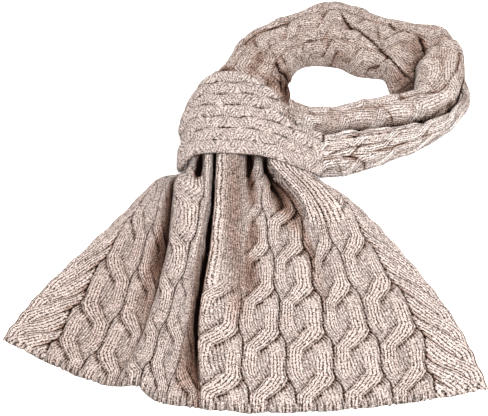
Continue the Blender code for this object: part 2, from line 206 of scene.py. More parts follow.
def bell(x, width, power=2):
    return np.exp(-((x / width) ** power))


def running(steps):
    """Totals of steps along a line, from 0."""
    return np.concatenate(([0.0], np.cumsum(steps)))


def steps(points, axis):
    """Lengths between neighbouring points of a grid along an axis."""
    return np.linalg.norm(np.diff(points, axis=axis), axis=-1)


def column(table, index):
    return np.array([row[index] for row in table], float)


def read(table, index, share):
    """A line of a table at shares of the way along, which its first line gives."""
    return monotone(table[0], table[index], share)


def soft_noise(x, y, size, seed, waves=7):
    """Smooth unevenness between about -1 and 1, with features of the given size."""
    rng = np.random.default_rng(seed)
    total = 0.0
    for _ in range(waves):
        angle, phase = rng.uniform(0, math.tau), rng.uniform(0, math.tau)
        stretch = rng.uniform(0.6, 1.5)
        k = math.tau / (size * 2 * stretch)
        total = total + np.sin(k * (x * math.cos(angle) + y * math.sin(angle)) + phase)
    return total / math.sqrt(waves * 2)


# ---- the surfaces that the cloth lies on ----
def taper(x, y):
    """How much the band narrows towards its rear, at its left."""
    return np.where(np.asarray(x) < 0, 1 - BAND_TAPER * ease(*BAND_TAPER_RUN, y), 1.0)


def arch(x, y, inset):
    """Height of the band's upper surface, inset from its outside."""
    x = np.asarray(x, float) / taper(x, y)
    reach = unit(-x / (BAND_LEFT - inset))
    crown = BAND_TOP - BAND_WAIST - inset
    left = BAND_WAIST + crown * (1 - reach**BAND_ROUND) ** (1 / BAND_ROUND)
    run = unit((x - BAND_FALL_FROM) / (BAND_SEAM - BAND_FALL_FROM))
    right = BAND_TOP - inset - BAND_FALL * run**BAND_FALL_POWER
    return np.where(x < 0, left, right)


def fan_rows():
    """x and z of the folds at each of FAN_ROWS."""
    folds = np.array([fold[2:] for fold in FAN_FOLDS], float).T
    x_rows, z_rows = list(folds[:SHOWN_ROWS]), list(folds[SHOWN_ROWS:])
    throat_x, throat_z = x_rows[-1], z_rows[-1]
    for squeeze in IN_BAND_SQUEEZE:
        x_rows.append(throat_x * squeeze)
        inside = arch(throat_x * squeeze, 0.0, BAND_WALL + GAP)
        z_rows.append(np.maximum(throat_z, IN_BAND_FILL * inside))
    return x_rows, z_rows


def fan_point(wale, cells):
    """Places on the fan's surface at wales and at repeats from the hem."""
    row_cells = column(FAN_ROWS, 1)
    wales = column(FAN_FOLDS, 1)
    x_at, z_at = ([monotone(wales, row, wale) for row in rows] for rows in fan_rows())
    y_at = []
    for (*_, x_mid, y_mid, rise_l, reach_l, rise_r, reach_r), x in zip(FAN_ROWS, x_at):
        left = np.maximum(x_mid - x, 0.0) / reach_l
        right = np.maximum(x - x_mid, 0.0) / reach_r
        y_at.append(y_mid + rise_l * left**2 + rise_r * right**2)
    rows = [
        [monotone(row_cells, [line[k] for line in axis], cells) for axis in (x_at, y_at, z_at)]
        for k in range(len(wale))
    ]
    x, y, z = (np.array([row[axis] for row in rows]) for axis in range(3))
    lift = np.interp(wale, *HEM_LIFT)
    y = y + lift[:, None] * ease(HEM_LIFT_CELLS, 0.0, cells)
    roof = arch(x, y, BAND_WALL + GAP)
    front = np.interp(x, *FRONT_EDGE)
    in_band = ease(front - TUCK_RUN[0], front - TUCK_RUN[1], y)
    z = np.where(z > roof, z + (roof - z) * in_band, z)
    return np.stack((x, y, z), axis=-1)


def fan_floor(y, z):
    """Height of the fan's underside below a surface at height z."""
    resting = (BAND_WALL + GAP) * ease(*FLOOR_RISE, y)
    hollow = np.maximum((z - WALL) * ease(*LIFT_OFF, z), resting)
    solid = ease(*SOLID_RUN, y)
    return hollow + (resting - hollow) * solid


def band_outline(inset):
    """x and z round the band, from its seam over it and back under it."""
    left = BAND_LEFT - inset
    x_right = np.linspace(BAND_SEAM, 0.0, CURVE_SAMPLES)
    angle = np.linspace(0.0, np.pi / 2, CURVE_SAMPLES)[1:]
    x_left = -left * np.sin(angle) ** (2 / BAND_ROUND)
    under = np.linspace(0.0, np.pi / 2, TURN_SAMPLES)[1:]
    x_turn = -(left - BAND_WAIST) - BAND_WAIST * np.cos(under)
    z_turn = BAND_WAIST - (BAND_WAIST - inset) * np.sin(under)
    x_floor = np.linspace(x_turn[-1], BAND_SEAM, CURVE_SAMPLES)[1:]
    x = np.concatenate((x_right, x_left, x_turn, x_floor))
    z_over = (arch(x_right, 0.0, inset), arch(x_left, 0.0, inset))
    z = np.concatenate((*z_over, z_turn, np.full(len(x_floor), inset)))
    return x, z


def band_point(share, across, inset):
    """Places at shares of the way round the band and across it."""
    run = running(np.hypot(*np.diff(band_outline(0.0))))
    run /= run[-1]
    front, rear = (read(BAND_EDGES, edge, share) for edge in (1, 2))
    y = front[:, None] + (rear - front)[:, None] * across
    x, z = (np.interp(share, run, line)[:, None] for line in band_outline(inset))
    return np.stack(np.broadcast_arrays(x * taper(x, y), y, z), axis=-1)


# ---- knitting: heights in millimetres, and where each point is in the fabric ----
# layout of the panel's columns: left plait, ten cables mirrored about the middle, right plait
PLAIT_WALES = 12
COLUMN_WALES = 14
HALF_COLUMN = COLUMN_WALES / 2
LAST_COLUMN = 9
PANEL_WALES = 164
MIRROR_AT = 82.0
CROSSING = 0.45  # place of a column's first crossing, in repeats
STRAND_HALF = 2.05  # half a strand's width, in wales
STRAND_Z = (
    (-1.05, -0.92, -0.72, -0.45, -0.25, 0.0, 0.25, 0.45, 0.68, 0.90, 1.05),
    (-3.0, 3.0, 4.2, 4.9, 5.7, 6.1, 5.8, 5.1, 4.3, 3.2, -3.0),
)
NOTHING = -9.0  # height where a strand isn't
# owners of places off the strands; a strand's owner is its number. Folds have pulled the stitches
# of the last two wide, so that only a share of their wales shows
GROUND, STRAIGHT, WIDE, WIDEST = -99.0, -199.0, -299.0, -399.0
OFF_STRAND = -50.0
WIDE_SHOWN = 0.45
WIDEST_SHOWN = 0.22


def strand_path(phi):
    """Middle of a cable's front strand, in wales from the column's middle, and its slope."""
    def path(p):
        ends = 5.0 * soft_ramp(-0.70 - p) - 4.0 * soft_ramp(p - 0.64)
        return 4.1 * soft_clip(p / 0.21, 0.03) + ends
    slope = (path(phi + 0.01) - path(phi - 0.01)) / 0.02 * WALE / CELL
    return path(phi), slope


def strand_coords(a, phi, cells):
    """Fabric coordinates on the front strand whose crossing is phi repeats away."""
    middle, slope = strand_path(phi)
    lean = 1 / np.sqrt(1 + slope**2)
    off = a - middle
    return off * lean**0.6, ROWS * cells + off * slope * lean**2


def column_coords(a, cells, owner):
    """Fabric coordinates in a cable column, on the strand or the ground that owner names."""
    strand = strand_coords(a, cells - CROSSING - owner, cells)
    straight = owner < GROUND
    shown = np.where(owner == WIDEST, WIDEST_SHOWN, np.where(owner == WIDE, WIDE_SHOWN, 1.0))
    ground_u = np.where(straight, shown * a, a + 4 * (cells - CROSSING))
    ground_v = ROWS * cells - np.where(straight, 0.0, 2 / 7 * a)
    return [np.where(owner > OFF_STRAND, s, g) for s, g in zip(strand, (ground_u, ground_v))]


def ribs(u):
    """Hollow between columns of stitches, 0 on a column's middle to 1 between two."""
    return 0.5 + 0.5 * np.cos(2 * np.pi * u)


def groove(off, cells):
    """Depth of the line beside a cable, off wales away: beaded, and deepest near a crossing."""
    phase = cells - CROSSING - np.round(cells - CROSSING)
    corner = bell(phase + 0.10, 0.17)
    beads = 0.45 + 0.55 * np.cos(np.pi * (ROWS * phase + 0.1)) ** 2
    return (2.2 + 2.4 * corner) * beads * ease(0.45, 0.0, off)


def cable(a, cells):
    """Height and owner in a cable column. a: wales from its middle, -7 to 7."""
    turn = cells - CROSSING
    nearest = np.round(turn)
    ground = 3.7 - 0.4 * (a / 6.5) ** 2
    best = np.full(a.shape, NOTHING)
    owner = np.zeros(a.shape)
    for shift in (-1, 0, 1):
        phi = turn - nearest - shift
        t, _ = strand_coords(a, phi, cells)
        top = monotone(*STRAND_Z, np.clip(phi, -1.04, 1.04))
        crossing = bell(phi, 0.34, 4)
        below = 1.7 * bell(t - 3.1, 1.3)
        above = 0.9 * bell(t + 2.9, 0.8)
        ground = ground - crossing * (below + above)
        t = t / (1 + 0.12 * crossing)
        strand = top - 1.4 * np.abs(t / STRAND_HALF) ** 5 - 0.8 * ribs(t)
        strand = np.where(np.abs(t) < STRAND_HALF + 0.3, strand, NOTHING)
        owner = np.where(strand > best, nearest + shift, owner)
        best = np.maximum(best, strand)
    ground = ground - 0.8 * ribs(a + 4 * turn)
    height = np.maximum(best, ground) - groove(HALF_COLUMN - np.abs(a), cells)
    return height, np.where(best > ground, owner, GROUND)


PLAIT_STEP = 0.5  # cable repeats between two strands of an edge plait
PLAIT_START = 0.36
PLAIT_HALF = 2.35
PLAIT_INNER = -7.2
PLAIT_OUTER = 4.0
PLAIT_SLANT = 12.0  # wales outwards in one cable repeat
PLAIT_LINE = 1.3  # difference in height over which two strands part


def plait_strand(b, cells, number):
    """Distance across a plait's strand, how far down it the place is, and fabric coordinates."""
    along = PLAIT_START + PLAIT_STEP * number - cells
    x = PLAIT_INNER + PLAIT_SLANT * along - PLAIT_OUTER
    middle = PLAIT_OUTER + x - soft_ramp(x, 1.5)
    slope = -PLAIT_SLANT * (0.5 - 0.5 * x / np.sqrt(x * x + 1.5)) * WALE / CELL
    lean = 1 / np.sqrt(1 + slope**2)
    off = b - middle
    return off * lean, along, ROWS * cells + off * slope * lean**2


def plait(b, cells):
    """Height and owner of an edge plait. b: wales from its middle, positive outwards."""
    first = np.ceil((cells - PLAIT_START) / PLAIT_STEP)
    best, second = np.full((2, *b.shape), NOTHING)
    down, owner = np.zeros((2, *b.shape))
    for later in range(4):
        t, along, _ = plait_strand(b, cells, first + later)
        height = 5.2 - 1.4 * bell(along, 0.13) - 2.0 * ease(0.9, 1.6, along)
        round_off = 4.2 - 3.1 * ease(0.22, 0.62, along)
        strand = height - round_off * np.abs(t / PLAIT_HALF) ** 2.6 - 0.6 * ribs(t)
        strand = np.where(np.abs(t) < 3.4, strand, NOTHING)
        better = strand > best
        second = np.where(better, best, np.maximum(second, strand))
        best = np.where(better, strand, best)
        down = np.where(better, along, down)
        owner = np.where(better, first + later, owner)
    line = ease(PLAIT_LINE, 0.0, best - second) * ease(0.80, 0.42, down)
    return np.maximum(best, 0.8) - 2.6 * line - groove(b + PLAIT_WALES / 2, cells), owner


JOG = 0.65  # sideways zigzag of the grooves, in wales
JOG_AFTER = 0.10  # repeats from a crossing
PLAINER = (
    # where folds pull the knitting flat: wale, run, cells from, cells full, then
    # shares left of cables and grooves, purl, and how wide stitches are pulled, 0 to 2
    (44.5, 6, 3, 4, 0.6, 0.8, 0.4, 0),
    (54.5, 5, 3, 4, 0.6, 1, 0, 0),
    (61, 5, 2.2, 3.4, 0.2, 0.8, 0, 2),
    (84.8, 3.6, 1.9, 2.8, 0.25, 0, 0, 1),
    (93.5, 6, 1.9, 3, 0.25, 0, 0.6, 0),
    (138, 11, 3.7, 4.3, 0.1, 1.2, 0, 1),
)


def plainness(wale, cells):
    """Shares of cables and grooves left where folds pull the knitting flat; purl, wide stitches."""
    cables, lines, purl, wide = (np.full(np.shape(wale), start) for start in (1.0, 1.0, 0.0, 0.0))
    for middle, run, start, full, cable_left, line_left, purled, widened in PLAINER:
        here = bell(wale - middle, run, 4) * ease(start, full, cells)
        cables = cables * (1 - (1 - cable_left) * here)
        lines = lines * (1 - (1 - line_left) * here)
        purl = np.maximum(purl, purled * here)
        wide = np.maximum(wide, widened * here)
    return cables, lines, purl, wide


def jog(wale, cells):
    """Sideways shift of the fabric: grooves step outwards just below each crossing."""
    phase = (cells - CROSSING - JOG_AFTER) % 1.0
    phase = np.where(phase > 0.5, phase - 1.0, phase)
    inside = -phase / 0.15
    outside = np.where(phase > 0, (phase - 0.5) / 0.35, (phase + 0.5) / 0.35)
    wave = np.where(np.abs(phase) < 0.15, inside, outside)
    wave = np.sin(np.clip(wave, -1, 1) * np.pi / 2)
    side = np.tanh((wale - MIRROR_AT) / 2.0)
    ends = ease(0.0, 10.0, wale) * ease(PANEL_WALES, PANEL_WALES - 10.0, wale)
    return JOG * wave * side * ends * (0.3 + 0.7 * plainness(wale, cells)[0])


def panel_place(wale, cells, number=None, mirrored=None):
    """Part of the panel, column, side, and wales from the middles of the column and the plait."""
    w = wale - jog(wale, cells)
    if number is None:
        number = np.clip(np.floor((w - PLAIT_WALES) / COLUMN_WALES), 0, LAST_COLUMN)
        mirrored = w < MIRROR_AT
    in_plait = (w < PLAIT_WALES) | (w > PANEL_WALES - PLAIT_WALES)
    a = w - PLAIT_WALES - COLUMN_WALES * number - HALF_COLUMN
    a = np.where(mirrored, -a, a)
    half = PLAIT_WALES // 2
    b = np.where(mirrored, half - w, w - (PANEL_WALES - half))
    return in_plait, number, mirrored, a, b


def columns(a, cells, line_left, cable_left=1.0, plain=3.0):
    """Height and owner of cables flattened towards plain, with the lines between them kept."""
    z, owner = cable(a, cells)
    line = groove(HALF_COLUMN - np.abs(a), cells)
    return plain + (z + line - plain) * cable_left - line * line_left, owner


def panel_relief(wale, cells):
    """Height of the panel's knitting, its owner, and the part, column and side of each place."""
    in_plait, number, mirrored, a, b = panel_place(wale, cells)
    a = np.clip(a, -HALF_COLUMN, HALF_COLUMN)
    weight, lined, _, wide = plainness(wale, cells)
    cable_z, cable_owner = columns(a, cells, lined, weight, 4.2 - 0.8 * ribs(a))
    plain_owner = np.where(wide > 1.5, WIDEST, np.where(wide > 0.5, WIDE, STRAIGHT))
    cable_owner = np.where(weight < 0.5, plain_owner, cable_owner)
    plait_z, plait_owner = plait(b, cells)
    z = np.where(in_plait, plait_z, cable_z)
    owner = np.where(in_plait, plait_owner, cable_owner)
    return z, owner, in_plait, number, mirrored


def panel_uv(wale, cells, owner, in_plait, number, mirrored):
    """Fabric coordinates of face corners, on the face's own strand, part, column and side."""
    *_, a, b = panel_place(wale, cells, number, mirrored)
    plait_u, _, plait_v = plait_strand(b, cells, owner)
    pairs = zip((plait_u, plait_v), column_coords(a, cells, owner))
    return np.stack([np.where(in_plait, p, c) for p, c in pairs], axis=-1)


# ---- meshes ----
def normals(points):
    along = np.gradient(points, axis=0)
    across = np.gradient(points, axis=1)
    n = np.cross(along, across)
    n /= np.maximum(np.linalg.norm(n, axis=-1, keepdims=True), 1e-9)
    return n


def outward(normal, away):
    """Normals turned to point along away."""
    return np.where(np.sum(normal * away, axis=-1, keepdims=True) < 0, -normal, normal)


def blur(values, radius):
    """Box blur of a grid, run twice each way."""
    v, size = np.asarray(values, float), 2 * radius + 1
    for _ in range(4):
        total = np.cumsum(np.pad(v, ((radius + 1, radius), (0, 0)), mode="edge"), axis=0)
        v = ((total[size:] - total[:-size]) / size).T
    return v


def lowest(values, radius=8):
    """The least value of a grid in the square round each point."""
    for _ in range(2):
        wide = np.pad(values, ((radius, radius), (0, 0)), mode="edge")
        count = len(values)
        values = np.min([wide[k:k + count] for k in range(2 * radius + 1)], axis=0).T
    return values


def hollows(relief, radius=3, depth=1.15):
    """How far each point lies under the cloth round it: 0 on top, 1 in a crevice."""
    return unit((blur(relief, radius) - relief) / depth)


def shade_of(rise, height, near=9, far=22):
    """Where little light reaches: beside raised strands, and down between folds."""
    beside = np.clip((blur(rise, near) - rise - 0.4) / 6.6, 0.0, 0.45)
    between = unit((blur(height, far) - height - 1.0) / 5.5)
    return unit(beside + between)


def subset(count):
    """Indices of the inner grid's rows or columns in the outer grid, with the last one."""
    return np.unique(np.append(np.arange(0, count, GRAIN), count - 1))


def corners(values):
    """Values of a grid at the four corners of each face, in the order of the faces' corners."""
    v = np.asarray(values)
    return np.stack((v[:-1, :-1], v[:-1, 1:], v[1:, 1:], v[1:, :-1]), axis=-1).reshape(-1, 4)


def first_corner(values):
    """Value of a grid at each face's first corner, for all four of its corners."""
    return np.repeat(corners(values)[:, :1], 4, axis=1)


def add_object(name, data):
    made = bpy.data.objects.new(name, data)
    bpy.context.scene.collection.objects.link(made)
    return made


def shell(name, outer, inner, rows, cols, corner_uv, tones, material):
    """A thin closed shell: a fine outer grid, a coarse inner one at its rows and cols, and rims."""
    n, m = outer.shape[:2]
    points = np.concatenate((outer.reshape(-1, 3), inner.reshape(-1, 3)))
    points = (points - np.array((*CENTRE, 0.0))) * MM
    fine = np.arange(n * m).reshape(n, m)
    coarse = n * m + np.arange(len(rows) * len(cols)).reshape(len(rows), len(cols))
    faces = corners(fine).tolist() + corners(coarse)[:, [0, 3, 2, 1]].tolist()
    rims = (
        (fine[0], coarse[0], cols, 1), (fine[-1], coarse[-1], cols, -1),
        (fine[:, 0], coarse[:, 0], rows, -1), (fine[:, -1], coarse[:, -1], rows, 1),
    )
    for outside, inside, stops, order in rims:
        for k in range(len(stops) - 1):
            stretch = outside[stops[k]:stops[k + 1] + 1][::-1]
            faces.append([*inside[k:k + 2].tolist(), *stretch.tolist()][::order])
    mesh = bpy.data.meshes.new(name)
    mesh.from_pydata(points, [], faces)
    layer = mesh.uv_layers.new(name="knit")
    loops = np.zeros(len(mesh.loops), np.int32)
    mesh.loops.foreach_get("vertex_index", loops)
    uv = (points[loops][:, :2] / (WALE * MM)).astype(np.float32)
    uv[: corner_uv.size // 2] = corner_uv.reshape(-1, 2)
    layer.data.foreach_set("uv", uv.ravel())
    for label, values in zip(("hollow", "deep", "purl"), tones):
        layer = mesh.attributes.new(label, "FLOAT", "POINT")
        values = np.append(values.ravel(), np.zeros(coarse.size))
        layer.data.foreach_set("value", values.astype(np.float32))
    mesh.polygons.foreach_set("use_smooth", np.ones(len(mesh.polygons), bool))
    mesh.update()
    mesh.validate()
    mesh.materials.append(material)
    return add_object(name, mesh)


# ---- materials ----
def feed(tree, socket, value):
    """Sets a socket to a number, tuple or colour, or links an output to it."""
    if isinstance(value, Output):
        tree.links.new(value.socket, socket)
    elif isinstance(value, tuple) and len(socket.default_value) > len(value):
        socket.default_value = (*value, 1.0)
    else:
        socket.default_value = value


class Output:
    """A node's output. Arithmetic on it adds math nodes to its tree."""

    def __init__(self, tree, socket):
        self.tree, self.socket = tree, socket

    def math(self, operation, *values):
        made = self.tree.nodes.new("ShaderNodeMath")
        made.operation = operation
        for socket, value in zip(made.inputs, values):
            feed(self.tree, socket, value)
        return Output(self.tree, made.outputs[0])

    __add__ = lambda a, b: a.math("ADD", a, b)
    __sub__ = lambda a, b: a.math("SUBTRACT", a, b)
    __rsub__ = lambda a, b: a.math("SUBTRACT", b, a)
    __mul__ = lambda a, b: a.math("MULTIPLY", a, b)
    __pow__ = lambda a, b: a.math("POWER", a, b)
    __abs__ = lambda a: a.math("ABSOLUTE", a)
    part = lambda a: a.math("FRACT", a)
    sine = lambda a: a.math("SINE", a)
    larger = lambda a, b: a.math("MAXIMUM", a, b)

    def clamped(self):
        self.socket.node.use_clamp = True
        return self


class Graph:
    """Short names for building a new material's nodes."""

    def __init__(self, name):
        self.material = bpy.data.materials.new(name)
        self.material.use_nodes = True
        self.tree = self.material.node_tree
        self.where = self.node("TexCoord", "Object")

    def shade(self, **values):
        """Sets the shader's inputs, named with _ for each space."""
        shader = self.tree.nodes["Principled BSDF"]
        for name, value in values.items():
            feed(self.tree, shader.inputs[name.replace("_", " ")], value)
        return self.material

    def node(self, kind, output, inputs=None, **settings):
        made = self.tree.nodes.new("ShaderNode" + kind)
        for key, value in settings.items():
            setattr(made, key, value)
        for key, value in (inputs or {}).items():
            feed(self.tree, made.inputs[key], value)
        return Output(self.tree, made.outputs[output])

    def attribute(self, name):
        return self.node("Attribute", "Fac", attribute_name=name)

    def noise(self, scale, detail=2.0, rough=0.5):
        inputs = {"Scale": scale, "Detail": detail, "Roughness": rough, "Vector": self.where}
        return self.node("TexNoise", "Fac", inputs)

    def ramp(self, value, stops):
        made = self.node("ValToRGB", "Color", {"Fac": value})
        elements = made.socket.node.color_ramp.elements
        while len(elements) < len(stops):
            elements.new(0.5)
        for element, (place, colour) in zip(elements, stops):
            element.position = place
            element.color = (*colour, 1.0)
        return made

    def mix(self, factor, a, b, blend="MIX"):
        inputs = {0: factor, 6: a, 7: b}  # the factor and the two colours
        return self.node("Mix", 2, inputs, data_type="RGBA", blend_type=blend)


# colours that the painted shade multiplies in, from none to nearly black
PAINTED_SHADE_TONES = (
    (0.0, (1.0, 1.0, 1.0)),
    (0.3, (0.65, 0.54, 0.485)),
    (0.65, (0.27, 0.17, 0.13)),
    (1.0, (0.014, 0.007, 0.005)),
)
WHITE = (1.0, 1.0, 1.0)
CREVICE_SHADE = (0.010, 0.005, 0.004)
BUMP = 0.0016  # in metres


def zigzag(value):
    """1 at whole numbers, 0 half way between them."""
    return abs(value.part() * 2.0 - 1.0)


def knit_material(name, pale, mid, fleck, grain=760.0, stops=(0.34, 0.44, 0.54)):
    """Heathered wool: stitches from the fabric coordinates, flecks and fibres from the place, with
    painted shade in the gaps between stitches, in crevices and down folds.
    """
    g = Graph(name)
    place = g.node("UVMap", 0, uv_map="knit")
    u, v = (g.node("SeparateXYZ", axis, {0: place}) for axis in "XY")
    u = u + (g.noise(170.0, 1.0) - 0.5) * 0.85
    v = v + (g.noise(290.0, 1.0) - 0.5) * 1.9
    # knit: V-shaped stitches, with shade painted dark between the columns, a little between the
    # rows and down each column's middle
    off = abs(u.part() - 0.5)
    gap = ((off - 0.25) * 5.5).clamped()
    dash = ((zigzag(v - 0.2) - 0.2) * 1.7).clamped()
    patchy = g.noise(190.0, 2.0, 0.6) * 2.6 - 0.3
    between = zigzag(v - off * 1.8) ** 3.0 * 0.14
    crease = (1.0 - off * 9.0).clamped()
    dark = gap * (dash * 1.45 + 0.25) * patchy
    dark = (dark + (between + crease * 0.2)).clamped()
    # purl: bumps in rows, uneven, with dark specks between them; the darkness between the rows is
    # painted shade
    bump_row = abs(((v + off) * math.pi).sine())
    purl_row = (1.0 - bump_row) ** 1.5 * 0.8
    specks = ((0.515 - g.noise(450.0, 2.0, 0.7)) * 11.0).clamped()
    purl_dark = (purl_row * patchy + specks * 0.95).clamped()
    purl = g.attribute("purl")
    dark = (dark * (1.0 - purl) + purl_dark * purl).clamped()
    stitch = 1.0 - dark
    height = stitch + g.noise(1100.0, 2.0, 0.6) * 1.1
    bump = g.node("Bump", 0, {"Strength": 1.0, "Distance": BUMP, "Height": height})
    heather = g.ramp(g.noise(grain, 2.0, 0.6), list(zip(stops, (fleck, mid, pale))))
    broad = g.ramp(g.noise(40.0), [(0.3, (0.93, 0.91, 0.90)), (0.7, WHITE)])
    heather = g.mix(1.0, heather, broad, "MULTIPLY")
    # painted shade in the gaps between stitches
    colour = g.mix((1.0 - stitch).clamped() * 0.95, heather, SHADE)
    # painted shade: nearly black stitch by stitch in crevices where hollow, browner down between
    # folds, with the sheen taken away there
    hollow = g.attribute("hollow")
    dotted = hollow * (gap * (dash * 0.55 + 0.45) * 0.8 + 0.25)
    deepest = ((hollow - 0.5) * 2.4).clamped() * (dash * 0.95 + 0.12)
    crevice = dotted.larger(deepest).clamped()
    colour = g.mix(crevice, colour, CREVICE_SHADE)
    deep = g.attribute("deep")
    colour = g.mix(1.0, colour, g.ramp(deep, PAINTED_SHADE_TONES), "MULTIPLY")
    lit = (1.0 - deep).clamped() * (1.0 - hollow).clamped()
    return g.shade(
        Base_Color=colour, Normal=bump, Roughness=0.95, Specular_IOR_Level=0.03,
        Sheen_Weight=lit * 0.09, Sheen_Roughness=0.5, Sheen_Tint=(1.0, 0.93, 0.88),
    )


def plain_material(name, colour):
    g = Graph(name)
    lighter = tuple(min(c * 1.01, 1) for c in colour)
    tone = g.ramp(g.noise(3.0), [(0.3, colour), (0.7, lighter)])
    return g.shade(Base_Color=tone, Roughness=0.9, Specular_IOR_Level=0.0)


PALE = (0.79, 0.695, 0.652)
MID = (0.43, 0.343, 0.31)
FLECK = (0.08, 0.05, 0.04)
SHADE = (0.035, 0.018, 0.013)
LOOK = {
    node: knit_material(name + "_knit_look", *tones)
    for node, name, *tones in (
        # node, name, tones, and where they differ the grain's scale and the tones' places in it
        ("front_panel", "fan", PALE, MID, FLECK),
        ("loop_band", "band", PALE, MID, FLECK),
        # the far arm: a little darker and browner, partly its reverse side showing and partly
        # painted shade
        ("neck_back", "back", (0.755, 0.645, 0.588), (0.43, 0.343, 0.307), (0.08, 0.048, 0.037),
         700.0, (0.365, 0.455, 0.55)),
        # the upper arm: paler, with painted light where it faces the lamp
        ("neck_front_upper", "upper", (0.82, 0.73, 0.684), (0.50, 0.42, 0.384), FLECK,
         720.0, (0.35, 0.445, 0.545)),
        # the lower arm: palest, with painted light where it faces the lamp
        ("neck_front_lower", "lower", (0.94, 0.867, 0.828), (0.62, 0.538, 0.50), FLECK),
    )
}


def declare(item, node, slot, **cloth):
    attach(item, "root")
    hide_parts(node)


# ---- the fan ----
PER_WALE = 4  # points of the fan's grid
PER_CELL = 56
FAN_END = 6.3  # repeats from the hem to the end inside the band
FAN_LENGTH = 0.335  # flat, in metres
FAN_PIECES = (
    # name, wales from and to, share of the flat rectangle that shows
    ("fan_left", 0, 54, 0.66),
    ("fan_middle", 54, 110, 0.8),
    ("fan_right", 110, 164, 0.8),
)
KNOB = 2.4  # wales to each loop of the bound-off edge
HEM_ROLL = 0.075  # repeats over which the edge rounds down to the floor
STRAND_SHADE = 0.05  # painted shade that tones a cable's strands down a little
PLAIT_SHADE = (0.34, 0.14)  # between a plait's strands, at the left and the right
GROUND_PURL = 0.5  # between a cable's strands the cloth is partly purl
SHADED = (
    # painted shade on folds' sides that little light reaches, and over the fan's left, which faces
    # away from the light; a negative amount paints light: wale, cells, run, reach, amount
    (35.5, 3.9, 4.2, 1.2, 0.52),
    (34, 2.6, 3.2, 0.9, 0.25),
    (92.5, 4.7, 4.5, 1.3, 0.3),
    (95, 2.7, 3.5, 1, 0.25),
    (102.5, 5, 3.4, 0.4, 0.45),
    (118, 5, 4.5, 0.5, 0.42),
    (121, 4.3, 3, 0.4, 0.15),
    (103, 3.95, 3, 0.34, 0.4),
    (101, 2.95, 3, 0.4, 0.35),
    (81.5, 3, 2.2, 2.6, 0.6),
    (128.5, 4.5, 3, 0.9, -0.5),
    (22, 1.6, 26, 2.4, 0.09),
    (75, 1.6, 4.5, 1.3, 0.5),
    (66, 3.6, 3.4, 1.2, 0.2),
    (139, 4.7, 7, 0.8, 0.09),
    (70, 2, 3.2, 1.3, 0.26),
)


def build_fan():
    wale = np.linspace(0.0, PANEL_WALES, PANEL_WALES * PER_WALE + 1)
    cells = np.linspace(0.0, FAN_END, int(FAN_END * PER_CELL) + 1)
    base = fan_point(wale, cells)
    w, c = np.meshgrid(wale, cells, indexing="ij")
    relief, owner, in_plait, number, mirrored = panel_relief(w, c)
    spacing = np.linalg.norm(np.gradient(base, axis=0), axis=-1) * PER_WALE
    fit = np.clip((spacing - 0.3) / 1.8, 0.35, 1.0)  # less relief where wales crowd together
    normal = normals(base)
    normal = np.where(normal[..., 2:] < 0, -normal, normal)
    rise = (relief - LIE) * fit * (0.35 + 0.65 * normal[..., 2])
    # bound-off edge: pale loops with small gaps between them, which are painted dark as shade
    hem = ease(0.125, 0.08, c)
    knob = np.abs(np.cos(np.pi * w / KNOB)) ** 0.8 * (0.8 + 0.2 * soft_noise(w, c, 1.3, 8))
    rolled = np.sqrt(unit(1 - (1 - np.minimum(c / HEM_ROLL, 1.0)) ** 2))
    rise = rise * (1 - 0.8 * hem) + 0.8 * hem * (-2.2 + 3.6 * knob)
    base[..., 1] -= (3.0 * knob - 0.6) * hem
    gaps = ease(0.15, 0.10, c) * np.clip(1.3 - 2.0 * knob, 0.0, 0.85)
    # rounded side edges, a little wavy where the plaits' strands reach them
    for edge, sign in ((0.0, -1.0), (PANEL_WALES, 1.0)):
        near = np.abs(w - edge)
        lobe = np.cos(math.tau * (c - PLAIT_START) / PLAIT_STEP)
        base[..., 0] += sign * 0.7 * lobe * ease(5.0, 0.0, near)
        rise = rise - (3.4 * ease(1.2, 0.0, near))
    top = base + normal * rise[..., None]
    top[..., 2] = np.maximum(top[..., 2], LEAST_FAN)
    top[..., 2] += 0.25 * soft_noise(top[..., 0], top[..., 1], 18.0, 5)
    top[..., 2] *= 0.2 + 0.8 * rolled
    floor = fan_floor(base[..., 1], base[..., 2])
    faces = (first_corner(v) for v in (owner, in_plait, number, mirrored))
    uv = panel_uv(corners(w), corners(c), *faces)
    uv = uv.reshape(len(wale) - 1, len(cells) - 1, 4, 2)
    # painted shade: nearly black in crevices and the edge's gaps, browner in folds, beside strands
    # and between a plait's strands
    hollow = np.maximum(hollows(relief, 3, 0.92) * (1 - hem), gaps)
    deep = shade_of(rise, base[..., 2] + 0.6 * rise)
    for wale_at, cells_at, run, reach, amount in SHADED:
        deep = deep + amount * bell(w - wale_at, run) * bell(c - cells_at, reach, 4)
    valleys = unit((4.2 - relief) / 3.0) * in_plait * (1 - hem)
    deep = deep + STRAND_SHADE * (~in_plait & (owner > OFF_STRAND))
    deep = unit(deep + np.where(w < MIRROR_AT, *PLAIT_SHADE) * valleys)
    purl = np.maximum(plainness(w, c)[2], GROUND_PURL * (~in_plait & (owner == GROUND)))
    for name, first, last, share in FAN_PIECES:
        part = slice(first * PER_WALE, last * PER_WALE + 1)
        outer = top[part]
        rows, cols = subset(len(outer)), subset(outer.shape[1])
        pick = np.ix_(rows, cols)
        inner = base[part][pick].copy()
        inner[..., 2] = np.minimum(floor[part][pick], outer[pick][..., 2] - 0.4)
        inner[..., 2] = np.maximum(inner[..., 2], 0.0)
        tones = [values[part] for values in (hollow, deep, purl)]
        face_uv = uv[part.start:part.stop - 1]
        item = shell(name, outer, inner, rows, cols, face_uv, tones, LOOK["front_panel"])
        flat = ((last - first) * WALE * MM, FAN_LENGTH)
        declare(
            item, "front_panel", "fan_knit", flat=flat, held="gathered", rests_on=["band"],
            area=share * flat[0] * flat[1],
        )


